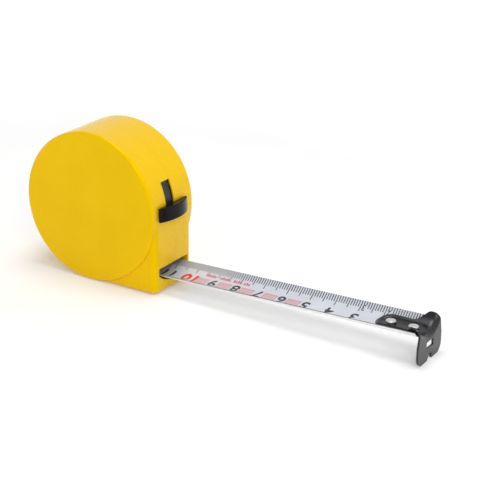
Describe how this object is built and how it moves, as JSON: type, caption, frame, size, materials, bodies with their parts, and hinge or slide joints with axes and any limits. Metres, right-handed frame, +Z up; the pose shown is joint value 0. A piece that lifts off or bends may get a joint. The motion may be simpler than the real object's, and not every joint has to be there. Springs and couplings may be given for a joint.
{
  "type": "tape measure",
  "caption": "Pocket tape measure: round plastic case with a square front corner, lock button, and a curved steel blade drawn out to its bent end hook.",
  "frame": {"origin": "middle of the case's flat base, on the middle of the case's width", "axes": "+X along the blade out of the mouth, +Y along the reel's axle towards the cover with the screws, +Z up from the flat base"},
  "size_m": [0.1678, 0.0274, 0.0637],
  "materials": {
    "case_plastic": "satin moulded ABS, plain yellow",
    "lock_plastic": "glossy black moulded plastic",
    "reel_plastic": "dull moulded plastic",
    "blade": "white lacquered spring steel with a printed scale",
    "hook_steel": "dark coated steel, satin",
    "rivet_steel": "bright nickelled steel",
    "steel": "zinc plated steel",
    "spring_steel": "blued spring steel",
    "pad_rubber": "dull black rubber"
  },
  "bodies": {
    "case": {"near_shell": "case_plastic", "far_shell": "case_plastic", "case_screw_1": "steel", "case_screw_2": "steel", "case_screw_3": "steel", "case_screw_4": "steel", "arbor": "steel"},
    "reel": {"power_spring": "spring_steel", "reel_drum": "reel_plastic", "blade_tail_rivet": "rivet_steel", "reel_flange_near": "reel_plastic", "reel_flange_far": "reel_plastic", "blade_coil": "blade"},
    "blade": {"blade_strip": "blade", "hook_rivet_1": "rivet_steel", "hook_rivet_2": "rivet_steel"},
    "hook": {"hook": "hook_steel"},
    "lock": {"lock_button": "lock_plastic", "lock_strip": "lock_plastic", "brake_pad": "pad_rubber"}
  },
  "joints": [
    {"name": "blade_pull", "type": "slide", "parent": "case", "child": "blade", "axis": [1, 0, 0], "range_m": [-0.1014, 0], "deforming": ["blade_strip"]},
    {"name": "reel_spin", "type": "hinge", "parent": "case", "child": "reel", "pos_m": [-0.01487, 0, 0.02975], "axis": [0, 1, 0], "range_deg": [0, 295], "deforming": ["power_spring"]},
    {"name": "hook_float", "type": "slide", "parent": "blade", "child": "hook", "axis": [1, 0, 0], "range_m": [-0.0008, 0]},
    {"name": "lock_slide", "type": "hinge", "parent": "case", "child": "lock", "pos_m": [-0.01487, 0, 0.02975], "axis": [0, -1, 0], "range_deg": [0, 17.5]}
  ],
  "couplings": [
    {"joint": "reel_spin", "follows": "blade_pull", "rad_per_m": -50}
  ]
}
